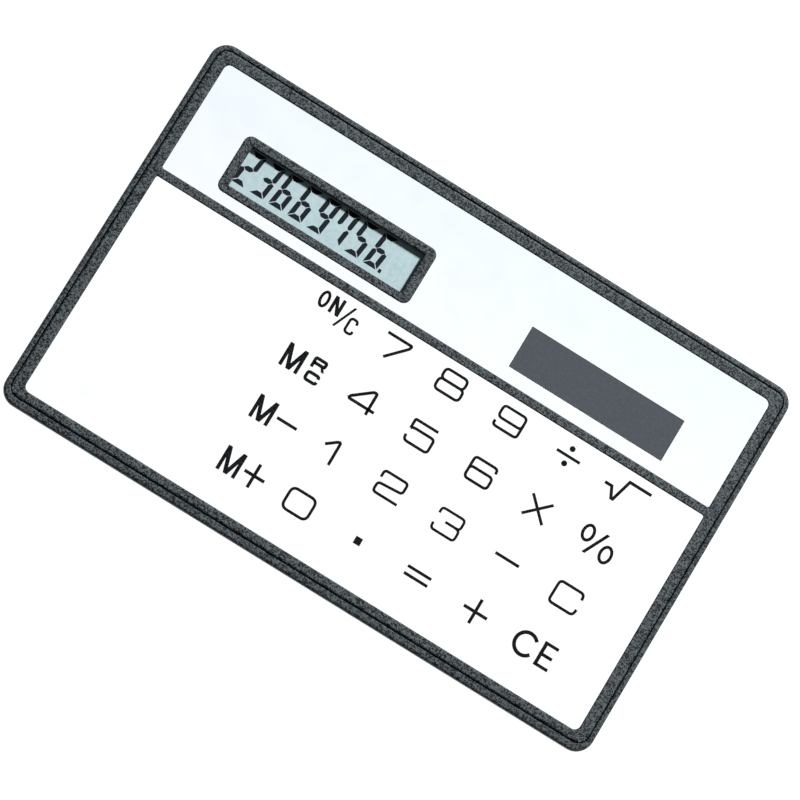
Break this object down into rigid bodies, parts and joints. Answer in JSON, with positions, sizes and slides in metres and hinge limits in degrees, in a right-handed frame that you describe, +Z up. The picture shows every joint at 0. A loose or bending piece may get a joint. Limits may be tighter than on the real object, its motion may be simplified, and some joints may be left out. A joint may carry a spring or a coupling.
{
  "type": "pocket calculator",
  "caption": "Card-size solar calculator: black grained frame, white panels, recessed numeric display, flush solar cell and flat film keys on a thin flat case.",
  "frame": {"origin": "middle of the flat back, on the surface that the calculator lies on", "axes": "+X to the calculator's right, +Y from the keys to the display, +Z up out of the face"},
  "size_m": [0.0856, 0.054, 0.003],
  "materials": {
    "rim_plastic": "smooth satin black moulded plastic",
    "grained_plastic": "fine spark-grained charcoal black plastic",
    "key_film": "matt white back-printed film",
    "fascia_plastic": "satin white plate with a cool tint",
    "insulating_film": "thin translucent sheet",
    "spacer_film": "translucent white sheet",
    "adhesive": "double-sided adhesive film",
    "board": "paper phenolic board, brown",
    "carbon_ink": "matt carbon ink",
    "chip_resin": "black epoxy resin",
    "ceramic_part": "tan ceramic",
    "foam": "soft black foam",
    "display_face": "pale grey-green satin polariser film",
    "display_glass": "clear thin glass",
    "reflector": "silvery diffuse reflector film",
    "connector_film": "flexible heat-seal film with carbon tracks",
    "solar_face": "dark slate cover over amorphous silicon",
    "silicon": "dark amorphous silicon layer with its electrodes",
    "lead_red": "red insulated wire",
    "lead_black": "black insulated wire"
  },
  "bodies": {
    "case": {"rear_cover": "rim_plastic", "insulating_sheet": "insulating_film", "circuit_board": "board", "contact_pads": "carbon_ink", "controller_chip": "chip_resin", "smoothing_capacitor": "ceramic_part", "clamp_diode": "chip_resin", "oscillator_resistor": "chip_resin", "key_spacer": "spacer_film", "inner_plate": "grained_plastic", "front_frame": "grained_plastic", "display_bezel": "grained_plastic", "overlay_adhesive": "adhesive", "key_overlay": "key_film", "fascia_adhesive": "adhesive", "upper_fascia": "fascia_plastic", "display_gasket": "foam", "display_polariser": "display_face", "display_front_glass": "display_glass", "display_rear_glass": "display_glass", "display_reflector": "reflector", "display_connector": "connector_film", "display_foam_pad": "foam", "solar_cell_glass": "solar_face", "solar_cell_layer": "silicon", "solar_cell_tape": "adhesive", "solar_lead_positive": "lead_red", "solar_lead_negative": "lead_black"},
    "key_on_clear": {"key_on_clear": "key_film"},
    "key_7": {"key_7": "key_film"},
    "key_8": {"key_8": "key_film"},
    "key_9": {"key_9": "key_film"},
    "key_divide": {"key_divide": "key_film"},
    "key_square_root": {"key_square_root": "key_film"},
    "key_memory_recall": {"key_memory_recall": "key_film"},
    "key_4": {"key_4": "key_film"},
    "key_5": {"key_5": "key_film"},
    "key_6": {"key_6": "key_film"},
    "key_multiply": {"key_multiply": "key_film"},
    "key_percent": {"key_percent": "key_film"},
    "key_memory_minus": {"key_memory_minus": "key_film"},
    "key_1": {"key_1": "key_film"},
    "key_2": {"key_2": "key_film"},
    "key_3": {"key_3": "key_film"},
    "key_minus": {"key_minus": "key_film"},
    "key_clear": {"key_clear": "key_film"},
    "key_memory_plus": {"key_memory_plus": "key_film"},
    "key_0": {"key_0": "key_film"},
    "key_point": {"key_point": "key_film"},
    "key_equals": {"key_equals": "key_film"},
    "key_plus": {"key_plus": "key_film"},
    "key_clear_entry": {"key_clear_entry": "key_film"}
  },
  "joints": [
    {"name": "key_on_clear_press", "type": "slide", "parent": "case", "child": "key_on_clear", "axis": [0, 0, -1], "range_m": [0, 0.00025], "stiffness_N_per_m": 4800},
    {"name": "key_7_press", "type": "slide", "parent": "case", "child": "key_7", "axis": [0, 0, -1], "range_m": [0, 0.00025], "stiffness_N_per_m": 4800},
    {"name": "key_8_press", "type": "slide", "parent": "case", "child": "key_8", "axis": [0, 0, -1], "range_m": [0, 0.00025], "stiffness_N_per_m": 4800},
    {"name": "key_9_press", "type": "slide", "parent": "case", "child": "key_9", "axis": [0, 0, -1], "range_m": [0, 0.00025], "stiffness_N_per_m": 4800},
    {"name": "key_divide_press", "type": "slide", "parent": "case", "child": "key_divide", "axis": [0, 0, -1], "range_m": [0, 0.00025], "stiffness_N_per_m": 4800},
    {"name": "key_square_root_press", "type": "slide", "parent": "case", "child": "key_square_root", "axis": [0, 0, -1], "range_m": [0, 0.00025], "stiffness_N_per_m": 4800},
    {"name": "key_memory_recall_press", "type": "slide", "parent": "case", "child": "key_memory_recall", "axis": [0, 0, -1], "range_m": [0, 0.00025], "stiffness_N_per_m": 4800},
    {"name": "key_4_press", "type": "slide", "parent": "case", "child": "key_4", "axis": [0, 0, -1], "range_m": [0, 0.00025], "stiffness_N_per_m": 4800},
    {"name": "key_5_press", "type": "slide", "parent": "case", "child": "key_5", "axis": [0, 0, -1], "range_m": [0, 0.00025], "stiffness_N_per_m": 4800},
    {"name": "key_6_press", "type": "slide", "parent": "case", "child": "key_6", "axis": [0, 0, -1], "range_m": [0, 0.00025], "stiffness_N_per_m": 4800},
    {"name": "key_multiply_press", "type": "slide", "parent": "case", "child": "key_multiply", "axis": [0, 0, -1], "range_m": [0, 0.00025], "stiffness_N_per_m": 4800},
    {"name": "key_percent_press", "type": "slide", "parent": "case", "child": "key_percent", "axis": [0, 0, -1], "range_m": [0, 0.00025], "stiffness_N_per_m": 4800},
    {"name": "key_memory_minus_press", "type": "slide", "parent": "case", "child": "key_memory_minus", "axis": [0, 0, -1], "range_m": [0, 0.00025], "stiffness_N_per_m": 4800},
    {"name": "key_1_press", "type": "slide", "parent": "case", "child": "key_1", "axis": [0, 0, -1], "range_m": [0, 0.00025], "stiffness_N_per_m": 4800},
    {"name": "key_2_press", "type": "slide", "parent": "case", "child": "key_2", "axis": [0, 0, -1], "range_m": [0, 0.00025], "stiffness_N_per_m": 4800},
    {"name": "key_3_press", "type": "slide", "parent": "case", "child": "key_3", "axis": [0, 0, -1], "range_m": [0, 0.00025], "stiffness_N_per_m": 4800},
    {"name": "key_minus_press", "type": "slide", "parent": "case", "child": "key_minus", "axis": [0, 0, -1], "range_m": [0, 0.00025], "stiffness_N_per_m": 4800},
    {"name": "key_clear_press", "type": "slide", "parent": "case", "child": "key_clear", "axis": [0, 0, -1], "range_m": [0, 0.00025], "stiffness_N_per_m": 4800},
    {"name": "key_memory_plus_press", "type": "slide", "parent": "case", "child": "key_memory_plus", "axis": [0, 0, -1], "range_m": [0, 0.00025], "stiffness_N_per_m": 4800},
    {"name": "key_0_press", "type": "slide", "parent": "case", "child": "key_0", "axis": [0, 0, -1], "range_m": [0, 0.00025], "stiffness_N_per_m": 4800},
    {"name": "key_point_press", "type": "slide", "parent": "case", "child": "key_point", "axis": [0, 0, -1], "range_m": [0, 0.00025], "stiffness_N_per_m": 4800},
    {"name": "key_equals_press", "type": "slide", "parent": "case", "child": "key_equals", "axis": [0, 0, -1], "range_m": [0, 0.00025], "stiffness_N_per_m": 4800},
    {"name": "key_plus_press", "type": "slide", "parent": "case", "child": "key_plus", "axis": [0, 0, -1], "range_m": [0, 0.00025], "stiffness_N_per_m": 4800},
    {"name": "key_clear_entry_press", "type": "slide", "parent": "case", "child": "key_clear_entry", "axis": [0, 0, -1], "range_m": [0, 0.00025], "stiffness_N_per_m": 4800}
  ]
}
